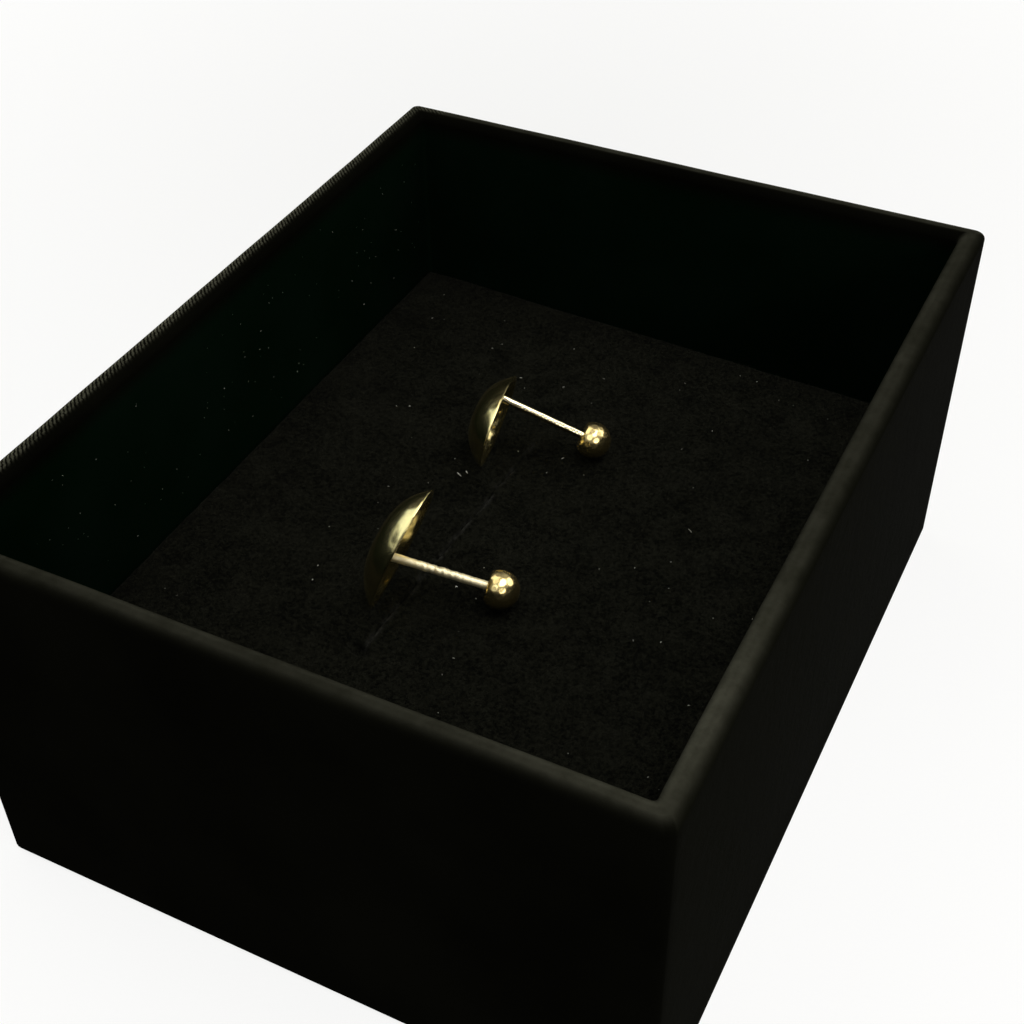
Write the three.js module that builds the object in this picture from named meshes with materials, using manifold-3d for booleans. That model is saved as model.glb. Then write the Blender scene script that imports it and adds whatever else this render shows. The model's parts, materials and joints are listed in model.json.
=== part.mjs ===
// A pair of gold stud earrings with hollow oval domes and ball screw backs, lying as they rest on
// the flocked foam pad of an open black gift box. Millimetres, +Z up, +Y along the box's long
// side. The origin is the centre of the box's underside.
import * as THREE from 'three';
import { mergeVertices } from 'three/addons/utils/BufferGeometryUtils.js';
import Module from 'manifold-3d';

const wasm = await Module();
wasm.setup();

// Gift box: paper-wrapped card with rounded corners and rims.
const BOX_WIDTH = 71.6;
const BOX_LENGTH = 90;
const BOX_HEIGHT = 44;
const WALL = 2.5;
const FLOOR = 2;
const CORNER_RADIUS = 1.6;
const INNER_CORNER_RADIUS = 0.6;
const RIM_RADIUS = 1.05;

// Foam pad: fills the floor, with a gap at the back where it is cut short and out of square.
const PAD_TOP = 22.6;
const PAD_GAP = 0.3;
const PAD_BACK_GAP_LEFT = 0.9;
const PAD_BACK_GAP_RIGHT = 4.2;
const PAD_EDGE = 0.9;
const SLIT_WIDTH = 0.5;
const SLIT_DEPTH = 9;
const SLIT_FRONT = { x: -5.4, y: -22.4 };
const SLIT_BACK = { x: -4.2, y: 15.4 };

// Stud: an oval dome, hollow at the back, with the post soldered inside it off centre.
const DOME_LENGTH = 14.8;
const DOME_WIDTH = 10;
const DOME_DEPTH = 2.75;
const DOME_CURVE = 3;
const DOME_WALL = 0.35;
const POST_OFFSET = { along: 2.55, across: 1.75 };
const POST_RADIUS = 0.45;
const POST_TO_BALL = 10.5;
const POST_TIP = 0.3;
const SOLDER_RADIUS = 0.85;
const SOLDER_HEIGHT = 0.5;
const SOLDER_TOP = -1.25;

// Ball back: a ball with a flat face towards the dome and a blind bore over the post.
const BALL_RADIUS = 2;
const BALL_FACE = 1.32;
const BORE_CLEARANCE = 0.08;
const BORE_END = 0.75;
const POST_END = 0.5;
const MOUTH_CHAMFER = 0.12;

// What lies on the pad keeps this gap to it.
const REST_GAP = 0.3;

// Roundness of the turned shapes.
const DOME_SIDES = 56;
const DOME_RINGS = 10;
const POST_SIDES = 16;
const BALL_SIDES = 32;
const BALL_RINGS = 12;

// How each stud lies: ball centre on the pad, the compass heading and downward slope of its post
// from dome to ball, and the dome's cant and roll about the post. Angles in degrees.
const STUDS = [
  { name: 'front', x: 4.25, y: -10.88, heading: 14.1, drop: 12.2, cantX: 9.2, cantY: 8.7, roll: 171.3 },
  { name: 'rear', x: 2.71, y: 14.92, heading: 12.8, drop: 21.8, cantX: 1.8, cantY: -7.8, roll: -111 },
];

const blackPaper = { color: 0x0c0c0b, roughness: 0.55, metalness: 0 };
const blackFlock = { color: 0x0a0a09, roughness: 1, metalness: 0 };
const yellowGold = { color: 0xd4b45f, roughness: 0.2, metalness: 1 };

// A closed geometry with shared vertices as a solid that can be joined and cut.
function toSolid(geometry) {
  const bare = geometry.clone();
  bare.deleteAttribute('normal');
  bare.deleteAttribute('uv');
  const merged = mergeVertices(bare, 1e-4);
  return new wasm.Manifold(new wasm.Mesh({
    numProp: 3,
    vertProperties: new Float32Array(merged.attributes.position.array),
    triVerts: new Uint32Array(merged.index.array),
  }));
}

function toGeometry(solid) {
  const mesh = solid.getMesh();
  const geometry = new THREE.BufferGeometry();
  geometry.setAttribute('position', new THREE.BufferAttribute(mesh.vertProperties, 3));
  geometry.setIndex(new THREE.BufferAttribute(mesh.triVerts, 1));
  geometry.computeVertexNormals();
  return geometry;
}

function roundedRectangle(path, width, length, radius) {
  const x = width / 2;
  const y = length / 2;
  path.moveTo(-x + radius, -y);
  path.lineTo(x - radius, -y);
  path.absarc(x - radius, -y + radius, radius, -Math.PI / 2, 0);
  path.lineTo(x, y - radius);
  path.absarc(x - radius, y - radius, radius, 0, Math.PI / 2);
  path.lineTo(-x + radius, y);
  path.absarc(-x + radius, y - radius, radius, Math.PI / 2, Math.PI);
  path.lineTo(-x, -y + radius);
  path.absarc(-x + radius, -y + radius, radius, Math.PI, Math.PI * 1.5);
  return path;
}

// The four walls are one ring with rounded rims, closed below by the floor.
function trayGeometry() {
  const ring = roundedRectangle(new THREE.Shape(), BOX_WIDTH, BOX_LENGTH, CORNER_RADIUS);
  ring.holes.push(roundedRectangle(
    new THREE.Path(), BOX_WIDTH - 2 * WALL, BOX_LENGTH - 2 * WALL, INNER_CORNER_RADIUS));
  const walls = new THREE.ExtrudeGeometry(ring, {
    depth: BOX_HEIGHT - 2 * RIM_RADIUS,
    bevelEnabled: true,
    bevelThickness: RIM_RADIUS,
    bevelSize: RIM_RADIUS,
    bevelOffset: -RIM_RADIUS,
    bevelSegments: 4,
    curveSegments: 4,
  });
  walls.translate(0, 0, RIM_RADIUS);
  const floor = new THREE.BoxGeometry(BOX_WIDTH - WALL, BOX_LENGTH - WALL, FLOOR);
  floor.translate(0, 0, FLOOR / 2);
  return toGeometry(toSolid(walls).add(toSolid(floor)));
}

// The pad's top edges are eased, and one knife slit runs along the middle of its top.
function padGeometry() {
  const x = BOX_WIDTH / 2 - WALL - PAD_GAP;
  const y = BOX_LENGTH / 2 - WALL;
  const outline = new THREE.Shape([
    new THREE.Vector2(-x, -y + PAD_GAP),
    new THREE.Vector2(x, -y + PAD_GAP),
    new THREE.Vector2(x, y - PAD_BACK_GAP_RIGHT),
    new THREE.Vector2(-x, y - PAD_BACK_GAP_LEFT),
  ]);
  const bottom = FLOOR + REST_GAP;
  const body = new THREE.ExtrudeGeometry(outline, {
    depth: PAD_TOP - bottom - 2 * PAD_EDGE,
    bevelEnabled: true,
    bevelThickness: PAD_EDGE,
    bevelSize: PAD_EDGE,
    bevelOffset: -PAD_EDGE,
    bevelSegments: 3,
  });
  body.translate(0, 0, bottom + PAD_EDGE);
  const dx = SLIT_BACK.x - SLIT_FRONT.x;
  const dy = SLIT_BACK.y - SLIT_FRONT.y;
  const knife = new THREE.BoxGeometry(SLIT_WIDTH, Math.hypot(dx, dy), 2 * SLIT_DEPTH);
  knife.rotateZ(-Math.atan2(dx, dy));
  knife.translate(SLIT_FRONT.x + dx / 2, SLIT_FRONT.y + dy / 2, PAD_TOP);
  return toGeometry(toSolid(body).subtract(toSolid(knife)));
}

// A turned shape about +Z from [radius, height] pairs, listed so that the outside runs upwards.
function turned(pairs, sides) {
  const shape = new THREE.LatheGeometry(pairs.map(([r, z]) => new THREE.Vector2(r, z)), sides);
  shape.rotateX(Math.PI / 2);
  return shape;
}

// The space inside an oval bowl, flat in the middle and steep at its rim, filled up to a flat
// top. Inset moves its wall inwards.
function bowlSolid(inset, top) {
  const reach = 1 - inset / (DOME_WIDTH / 2);
  const depth = DOME_DEPTH - inset;
  const pairs = [];
  for (let i = 0; i <= DOME_RINGS; i += 1) {
    const q = i / DOME_RINGS;
    pairs.push([q * reach, -depth * (1 - q ** DOME_CURVE)]);
  }
  if (top > 0) {
    pairs.push([reach, top]);
  }
  pairs.push([0, top]);
  const bowl = turned(pairs, DOME_SIDES);
  bowl.scale(DOME_LENGTH / 2, DOME_WIDTH / 2, 1);
  bowl.translate(POST_OFFSET.along, POST_OFFSET.across, 0);
  return toSolid(bowl);
}

// One stud in its post's frame: the rim is at height 0 where the post passes it, and the post
// rises to the ball. Its foot spreads into solder and ends halfway through the dome's wall.
function studGeometry({ cantX, cantY, roll }) {
  const cant = new THREE.Matrix4().makeRotationFromEuler(new THREE.Euler(
    THREE.MathUtils.degToRad(cantX), THREE.MathUtils.degToRad(cantY), THREE.MathUtils.degToRad(roll)));
  const uncant = cant.clone().invert();
  const end = POST_TO_BALL + POST_END;
  const post = turned([
    [0, -DOME_DEPTH - 1],
    [SOLDER_RADIUS, -DOME_DEPTH - 1],
    [SOLDER_RADIUS, SOLDER_TOP - SOLDER_HEIGHT],
    [POST_RADIUS, SOLDER_TOP],
    [POST_RADIUS, end - POST_TIP],
    [POST_RADIUS - POST_TIP / 2, end],
    [0, end],
  ], POST_SIDES);
  const foot = toSolid(post.applyMatrix4(uncant)).intersect(bowlSolid(DOME_WALL / 2, 2 * end));
  const shell = bowlSolid(0, 0).subtract(bowlSolid(DOME_WALL, 1));
  return toGeometry(shell.add(foot)).applyMatrix4(cant);
}

// The ball back about its own middle, with its flat face and the mouth of its bore below.
function ballBackGeometry() {
  const bore = POST_RADIUS + BORE_CLEARANCE;
  const faceAngle = Math.asin(-BALL_FACE / BALL_RADIUS);
  const pairs = [
    [0, BORE_END],
    [bore, BORE_END],
    [bore, MOUTH_CHAMFER - BALL_FACE],
    [bore + MOUTH_CHAMFER, -BALL_FACE],
  ];
  for (let i = 0; i <= BALL_RINGS; i += 1) {
    const angle = THREE.MathUtils.lerp(faceAngle, Math.PI / 2, i / BALL_RINGS);
    pairs.push([i < BALL_RINGS ? BALL_RADIUS * Math.cos(angle) : 0, BALL_RADIUS * Math.sin(angle)]);
  }
  return turned(pairs, BALL_SIDES);
}

function namedMesh(name, geometry, look) {
  const mesh = new THREE.Mesh(geometry, new THREE.MeshStandardMaterial(look));
  mesh.name = name;
  return mesh;
}

const model = new THREE.Group();
model.add(namedMesh('gift_box_tray', trayGeometry(), blackPaper));
model.add(namedMesh('foam_pad', padGeometry(), blackFlock));

for (const lie of STUDS) {
  const pose = new THREE.Group();
  pose.position.set(lie.x, lie.y, PAD_TOP + REST_GAP + BALL_RADIUS);
  pose.rotation.set(
    0, THREE.MathUtils.degToRad(90 + lie.drop), THREE.MathUtils.degToRad(lie.heading), 'ZYX');
  const stud = namedMesh(`${lie.name}_stud`, studGeometry(lie), yellowGold);
  stud.position.z = -POST_TO_BALL;
  pose.add(stud);
  pose.add(namedMesh(`${lie.name}_ball_back`, ballBackGeometry(), yellowGold));
  model.add(pose);
}

export default model;
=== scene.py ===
"""A pair of gold stud earrings on the flocked pad of an open black gift box."""
import json
import math

import bpy
import numpy as np
from mathutils import Matrix, Vector


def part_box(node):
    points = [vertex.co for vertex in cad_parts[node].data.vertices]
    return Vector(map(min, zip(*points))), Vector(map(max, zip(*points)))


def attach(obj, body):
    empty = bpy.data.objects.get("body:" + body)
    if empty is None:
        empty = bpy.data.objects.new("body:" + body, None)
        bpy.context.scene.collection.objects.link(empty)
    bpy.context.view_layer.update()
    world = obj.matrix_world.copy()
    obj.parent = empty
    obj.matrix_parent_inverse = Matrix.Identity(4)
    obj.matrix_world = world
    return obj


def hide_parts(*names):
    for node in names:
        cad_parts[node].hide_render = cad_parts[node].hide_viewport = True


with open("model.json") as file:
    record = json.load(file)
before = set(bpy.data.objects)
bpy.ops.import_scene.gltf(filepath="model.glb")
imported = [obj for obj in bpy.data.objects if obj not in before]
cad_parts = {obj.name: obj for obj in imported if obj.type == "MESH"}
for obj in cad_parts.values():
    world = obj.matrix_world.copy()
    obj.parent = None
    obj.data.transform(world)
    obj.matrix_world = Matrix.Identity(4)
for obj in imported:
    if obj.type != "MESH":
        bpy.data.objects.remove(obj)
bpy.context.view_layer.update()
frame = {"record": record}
MM = 0.001
ROOT = "box_with_studs"

# ---------------------------------------------------------------- sizes in millimetres
BOX_LOW, BOX_HIGH = [np.array(c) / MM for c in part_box("gift_box_tray")]
PAD_LOW, PAD_HIGH = [np.array(c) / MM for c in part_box("foam_pad")]

# Gift box: its card, the corners and rounded rim of its walls, how far from its rim and its foot
# the flat of a wall starts, how the walls bow in and the rim is wavy, and how finely all of it is
# divided. The bow fades over a share of a wall's half length towards its corners.
WALL = 2.5
FLOOR = 2.0
OUTER_CORNER = 0.75
INNER_CORNER = 0.5
RIM = 1.05
WALL_MARGIN = 3.0
WALL_BOW, WALL_BOW_VARIES, WALL_BOW_SIZE = 0.06, 0.05, 40
WALL_BOW_FADE = 0.25
RIM_WAVES, RIM_WAVE_SIZE, RIM_DROP = 0.025, 12, 0.03
OUTLINE_STEP = 1.2
CORNER_POINTS = 7
FOOT_STEPS, RIM_STEPS, WALL_ROWS = 6, 12, 9

# Foam pad: how far its back edge is out of square, its eased edge, how far its flock's ground
# lies under its top, and its nearly closed slit: its ends, what shows of it, its raised lips and
# the notch at its front end. The rows across the pad are evenly spaced. At its front and back the
# first few make way for closer ones, which are spaced for a pad of a rounded length.
PAD_BACK_DROP = 3.3
PAD_EDGE = 1.1
PAD_SUNK = 0.10
SLIT_FRONT = np.array([-5.4, -22.4])
SLIT_BACK = np.array([-4.2, 15.4])
SLIT_SHOWN_DEPTH, SLIT_SHOWN_WIDTH = 0.30, 0.12
LIP_RISE, LIP_FROM_SLIT, LIP_SPREAD = 0.10, 0.34, 0.26
NOTCH_DEPTH, NOTCH_BACK, NOTCH_SIZE = 0.8, 0.2, (0.9, 0.55)
PAD_ROWS, PAD_ROWS_REPLACED, PAD_EDGE_ROWS = 271, 4, 7
PAD_ROUND_LENGTH = 84
PAD_SIDE_COLUMNS = 74

# The pad's waves and its patches of rubbed pile are soft noises: height in mm or strength, size in
# mm and seed. The slit wanders by so many mm, at so many radians for each mm along it, and fades
# over a length at each end. The rub beside it varies from a level, and has a middle and a spread.
PAD_WAVES = [(0.05, 14, 21), (0.03, 4, 22)]
SLIT_WANDER, SLIT_WANDER_RATE = 0.10, 0.8
SLIT_FADE_FRONT, SLIT_FADE_BACK = 1.2, 5
RUB_PATCHES = [(0.7, 2.2, 31), (0.4, 0.7, 32)]
RUB_LEVEL = 0.25
RUB_FROM_SLIT, RUB_SPREAD = 0.12, 0.28

# Stud: an oval dome with a rounded lip and faint dents, and its post, sunk a little into the
# dome's inside. Solder spreads round the post's foot, and its thread starts higher up.
DOME_LENGTH, DOME_WIDTH, DOME_DEPTH = 14.8, 10.0, 2.75
DOME_CURVE = 3
DOME_WALL = 0.35
DOME_REACH_IN = 1 - 2 * DOME_WALL / DOME_WIDTH
LIP_HEIGHT = 0.1575 * DOME_WALL
DENT_DEPTH, DENT_SIZE = 0.022, 5.0
DOME_SIDES, DOME_RINGS, LIP_STEPS = 192, 44, 5
POST_OFFSET = (2.55, 1.75)
POST_RADIUS = 0.45
POST_TO_BALL = 10.5
POST_END = 0.5
POST_SIDES = 28
FOOT_SUNK = 0.15
SOLDER_SPREAD, SOLDER_FROM, SOLDER_FALL = 0.42, -2.0, 0.28
THREAD_FROM = 1.2
THREAD_PITCH = 0.42
THREAD_DEPTH = 0.009

# The heights of the rows of points along the post: its foot, its shaft from one height to this far
# from its end, and its tip, as shares of the radius and distances from the end. An uneven post is
# so most at one share of its length, over a spread, in waves: radians for each mm along it, and
# waves round it.
FOOT_SPAN, FOOT_ROWS = (-2.45, -1.0), 24
SHAFT_FROM, SHAFT_TO_END, SHAFT_ROWS = -0.95, 0.2, 420
POST_TIP = [(0.85, 0.08), (0.6, 0)]
UNEVEN_AT, UNEVEN_SPREAD = 0.42, 0.24
UNEVEN_WAVES = [(3.1, 0), (5.3, 1), (8.7, -2)]

# Ball back: its collar's face lies this far from its middle. It has ground flats, given as bands
# of angle from its tip and flats in the band. Its round part starts this far above the face.
BALL_RADIUS = 2.0
BALL_FACE = 1.32
ROUND_FROM = 0.14
BORE_RADIUS = 0.53
BALL_SIDES, BALL_RINGS = 144, 64
BALL_FLATS = [(0, 1), (22, 6), (43, 11), (64, 14), (85, 16), (106, 15)]
FLAT_HALF_ANGLE = 8.5

# The folded rims are painted pale along a line, as a painted highlight with some rubbing: how much,
# how far that line leans towards one way off the top of the fold, and over what arc, for the near
# rims and for the far ones. At a corner a place is on both walls if its lesser distance into them
# is at least a share of the greater.
HIGHLIGHT_TOWARDS = np.array([-0.6, 0.8])
CORNER_SHARE = 0.8
RIM_HIGHLIGHT_AND_RUB, RIM_HIGHLIGHT_AND_RUB_FAR = 0.49, 1.0
HIGHLIGHT_MIDDLE, HIGHLIGHT_MIDDLE_FAR = math.radians(18), math.radians(13)
HIGHLIGHT_ARC, HIGHLIGHT_ARC_FAR = math.radians(34), math.radians(13)

# The spot on the right wall where the rims' painted highlight and rubbing are strongest, and how
# far that reaches.
# The right wall's outer paper is painted lighter, as light falling on that side: all of it from
# this far behind its front edge, and by this share less at its back edge.
RIM_BRIGHT_SPOT = np.array([33.0, -33.5])
RIM_BRIGHT_SPOT_REACH = 15
LIT_RIGHT_FACE_EDGE = 2.5
LIT_RIGHT_FACE_LESS = 0.6

# How each stud differs. The cant and roll of its dome about its post are in degrees. Inside the
# dome are lumps of a height and size in mm, and a bead of solder along part of the rim: the way
# it lies from the dome's middle and its spread, both in degrees, and its height in mm. The swell
# is where the dome is wider: its way and spread in degrees and its share of the radius. The post
# is uneven by so many mm, and dull where positive or brightly polished where negative.
STUDS = {
    "front": {
        "cant": (9.2, 8.7, 171.3), "seed": 3, "lumps": {"height": 0.035, "size": 1.5},
        "bead": {"way": -102, "spread": 22, "height": 0.46},
        "swell": {"way": 88, "spread": 24, "share": 0.035}, "uneven": 0.06, "dull": 1.0,
    },
    "rear": {
        "cant": (1.8, -7.8, -111.0), "seed": 11, "lumps": {"height": 0.13, "size": 0.9},
        "bead": {"way": 130, "spread": 38, "height": 0.30},
        "swell": {"way": -60, "spread": 24, "share": 0.01}, "uneven": 0.0, "dull": -0.3,
    },
}

# The bead's middle and half width as shares of the dome's radius, how satin its gold is, and how
# pale the metal of the posts is.
BEAD_AT = 0.84
BEAD_HALF_WIDTH = 0.07
BEAD_SATIN = 0.12
POST_PALE = 0.7

# Fibres of lint on the pad: x, y, length, heading in degrees and half thickness. Specks are
# strewn over the pad and the left wall as well, at these distances from the surfaces, between a
# least and greatest length and half thickness. A fibre bends by up to so many radians, and arches.
LINT_FIBRES = [
    (-9.3, 5.6, 0.75, -28, 0.055),
    (-8.7, 6.3, 0.45, -40, 0.045),
    (-11.1, 24.7, 0.30, 20, 0.030),
    (-5.7, 25.2, 0.30, 75, 0.030),
    (-2.1, 28.8, 0.25, 0, 0.030),
    (-0.1, 13.1, 0.35, 60, 0.035),
    (17.2, 8.0, 0.60, -35, 0.040),
    (-15.3, 0.4, 0.22, 10, 0.030),
]
PAD_SPECKS = 70
WALL_SPECKS = 110
LINT_OVER_PAD = 0.12
LINT_OFF_WALL = 0.20
PAD_SPECK_LENGTHS, PAD_SPECK_HALVES = (0.06, 0.22), (0.02, 0.035)
WALL_SPECK_LENGTHS, WALL_SPECK_HALVES = (0.03, 0.10), (0.010, 0.020)
FIBRE_STEPS, FIBRE_BEND, FIBRE_ARCH = 5, 0.5, 0.05
LINT_SEED = 5

# The pile's fibres: how many there are, their half width, least and greatest height, depth of root
# and distance from the pad's edges. They lean by so much in x and y for each mm of height, which
# varies, and are rubbed this share as pale as the ground is.
PILE_FIBRES = 110000
PILE_HALF_WIDTH = 0.028
PILE_HEIGHTS = (0.12, 0.30)
PILE_ROOT = 0.05
PILE_MARGIN = 0.3
PILE_LEAN = np.array([0.15, -0.2])
PILE_LEAN_VARIES = 0.55
PILE_RUBBED = 0.8
PILE_SEED = 77

# ---------------------------------------------------------------- looks and light
# Pairs are the darkest and lightest of a material's mottling. The rib shades multiply a colour.
FACE_PAPER = ((0.0011, 0.0011, 0.0007), (0.0019, 0.0019, 0.0012))
INSIDE_PAPER = ((0.0004, 0.0028, 0.0007), (0.0014, 0.0044, 0.0022))
# The rims' pale paper is a painted highlight with some rubbing.
RIM_HIGHLIGHT_AND_RUB_PAPER = ((0.0220, 0.0222, 0.0155), (0.0420, 0.0420, 0.0310))
RIB_SHADES = ((0.10, 0.10, 0.09), (2.5, 2.5, 2.45))
# The right face's lighter paper is painted light.
LIT_RIGHT_FACE_PAPER = (0.0023, 0.0024, 0.0014)
PAPER_SPECULAR = 0.0001
PAD_FLOCK = ((0.0013, 0.0014, 0.0010), (0.0070, 0.0072, 0.0050))
PILE_FLOCK = ((0.0027, 0.0028, 0.0020), (0.0172, 0.0176, 0.0126))
RUBBED_FLOCK = (0.022, 0.022, 0.019)
STUD_GOLD = (0.89, 0.75, 0.35)
BACK_GOLD = (0.93, 0.74, 0.33)
PALE_GOLD = (0.95, 0.87, 0.64)
SATIN_ROUGHNESS = 0.34
LINT_SHADES = ((0.22, 0.21, 0.18), (0.80, 0.79, 0.72))
FLOOR_SHADES = ((0.118, 0.118, 0.116), (0.122, 0.122, 0.120))

# The studio's floor, with its size and its gap to the box in mm. It glows by itself, a little
# less in a round patch behind the box, which is a painted shadow of the box. The patch's middle is
# in metres, and its glow rises with the distance from there.
FLOOR_SIZE = 8000
FLOOR_GAP = 0.05
FLOOR_GLOW = 0.852
SHADED_SPOT = (-0.05, 0.11, 0)
SHADED_FALL = 4.6

# Studio: how bright the sky and its horizon are, where the horizon's glow starts and stops fading
# (as the sine of elevation), and one dark corner of the sky: its compass direction and elevation,
# how many degrees from its middle it starts and is darkest, and how bright it is there.
SKY_DIM = 0.20
HORIZON_GREY = 0.95
HORIZON_TOP = 0.08
DIM_FROM = 0.24
DARK_CORNER = (140, 24)
DARK_CORNER_EDGE = (34, 19)
DARK_CORNER_LIGHT = 0.25

# Softboxes: name, compass direction, elevation, size in metres, brightness and colour. All aim
# at one place from one distance, in metres.
LIGHT_AIM = (0, 0, 0.03)
LIGHT_DISTANCE = 0.6
SOFTBOXES = [
    ("overhead", 0, 74, (0.50, 0.22), 6.0, (1.0, 0.99, 0.97)),
    ("high_left", 165, 57, (0.50, 0.40), 1.6, (1.0, 0.95, 0.84)),
    ("window_left", 189, 31, (0.50, 0.36), 1.15, (0.88, 0.98, 1.0)),
    ("window_right", 45, 36, (0.46, 0.30), 2.4, (1.0, 0.97, 0.90)),
    ("front_right", -40, 27, (0.28, 0.18), 5.5, (1.0, 0.98, 0.92)),
    ("front", -105, 52, (0.24, 0.24), 2.0, (1.0, 1.0, 1.0)),
]

# The camera at the photograph's angle, in mm and degrees.
CAMERA_PLACE = (57.055, -110.088, 133.288)
CAMERA_TURN = (48.8596, 0.8179, 26.6260)
CAMERA_LENS, CAMERA_SENSOR = 54.9, 36


# ---------------------------------------------------------------- mesh helpers
def add_mesh(name, verts_mm, faces, material, smooth=True):
    """A new object in the scene, from points in mm and faces."""
    mesh = bpy.data.meshes.new(name)
    mesh.from_pydata((np.asarray(verts_mm) * MM).tolist(), [], faces)
    mesh.update()
    if smooth:
        mesh.polygons.foreach_set("use_smooth", [True] * len(mesh.polygons))
    obj = bpy.data.objects.new(name, mesh)
    bpy.context.scene.collection.objects.link(obj)
    mesh.materials.append(material)
    return obj


def grid_faces(rows, cols, wrap=False):
    """Quads between consecutive rows of points; wrap joins the last column to the first."""
    faces = []
    for r in range(rows - 1):
        for c in range(cols if wrap else cols - 1):
            d = (c + 1) % cols
            faces.append((r * cols + c, r * cols + d, (r + 1) * cols + d, (r + 1) * cols + c))
    return faces


def smooth_noise(points, size, seed):
    """Soft noise of about -1 to 1 with bumps of the given size, as a sum of turned waves."""
    rng = np.random.default_rng(seed)
    total = np.zeros(len(points))
    for _ in range(10):
        heading = rng.normal(size=points.shape[1])
        heading /= np.linalg.norm(heading)
        wave = 2 * math.pi / (size * rng.uniform(0.7, 1.6))
        total += np.sin(points @ heading * wave + rng.uniform(0, 2 * math.pi))
    return total / 4.0


def noises(points, rows, level=0.0):
    """A level plus soft noises, each given as its strength, size and seed."""
    return sum((strength * smooth_noise(points, size, seed) for strength, size, seed in rows), level)


def float_attribute(obj, name, values):
    """A value for each point, which the object's material reads by this name."""
    attribute = obj.data.attributes.new(name, "FLOAT", "POINT")
    attribute.data.foreach_set("value", np.asarray(values, dtype=np.float32))


# ---------------------------------------------------------------- materials
# The sockets of a Mix node that mixes colours.
MIX_FACTOR, MIX_FIRST, MIX_SECOND, MIX_RESULT = 0, 6, 7, 2


class Nodes:
    """A node material under construction."""

    def __init__(self, name):
        self.material = bpy.data.materials.new(name)
        self.material.use_nodes = True
        self.tree = self.material.node_tree
        self.shader = self.tree.nodes["Principled BSDF"]

    def add(self, kind, **values):
        node = self.tree.nodes.new(kind)
        for key, value in values.items():
            setattr(node, key, value)
        return node

    def set(self, **values):
        """Sets constants on the shader's own sockets."""
        for key, value in values.items():
            self.shader.inputs[key.replace("_", " ")].default_value = value

    def link(self, source, output, target, entry):
        self.tree.links.new(source.outputs[output], target.inputs[entry])

    def place(self):
        return self.add("ShaderNodeTexCoord")

    def attribute(self, name):
        return self.add("ShaderNodeAttribute", attribute_name=name)

    def noise(self, place, scale, detail, rough):
        node = self.add("ShaderNodeTexNoise")
        node.inputs["Scale"].default_value = scale
        node.inputs["Detail"].default_value = detail
        node.inputs["Roughness"].default_value = rough
        self.link(place, "Object", node, "Vector")
        return node

    def ramp(self, source, output, stops):
        """Runs from one colour or grey to another as a node's output goes between two stops."""
        node = self.add("ShaderNodeValToRGB")
        for element, (position, value) in zip(node.color_ramp.elements, stops):
            element.position = position
            element.color = (*value, 1) if isinstance(value, tuple) else (value, value, value, 1)
        self.link(source, output, node, "Fac")
        return node

    def math(self, operation, first, second):
        """Adds, subtracts or multiplies two values, each a (node, output) pair or a number. The
        result is output 0."""
        node = self.add("ShaderNodeMath", operation=operation)
        for entry, source in enumerate((first, second)):
            if isinstance(source, tuple):
                self.link(*source, node, entry)
            else:
                node.inputs[entry].default_value = source
        return node

    def mix(self, factor, first, second, blend="MIX"):
        """Mixes two colours by a factor, each a (node, output) pair or a plain colour."""
        node = self.add("ShaderNodeMix", data_type="RGBA", blend_type=blend)
        for entry, source in ((MIX_FACTOR, factor), (MIX_FIRST, first), (MIX_SECOND, second)):
            if isinstance(source[0], bpy.types.Node):
                self.link(*source, node, entry)
            else:
                node.inputs[entry].default_value = (*source, 1)
        return node

    def bump(self, source, output, strength, distance, after=None):
        """Relief that follows a node's output, on top of an earlier bump if there is one."""
        node = self.add("ShaderNodeBump")
        node.inputs["Strength"].default_value = strength
        node.inputs["Distance"].default_value = distance
        self.link(source, output, node, "Height")
        if after is not None:
            self.link(after, "Normal", node, "Normal")
        return node

    def colour(self, source, output):
        self.link(source, output, self.shader, "Base Color")

    def roughness(self, source, output):
        self.link(source, output, self.shader, "Roughness")

    def normal(self, source):
        self.link(source, "Normal", self.shader, "Normal")


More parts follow.
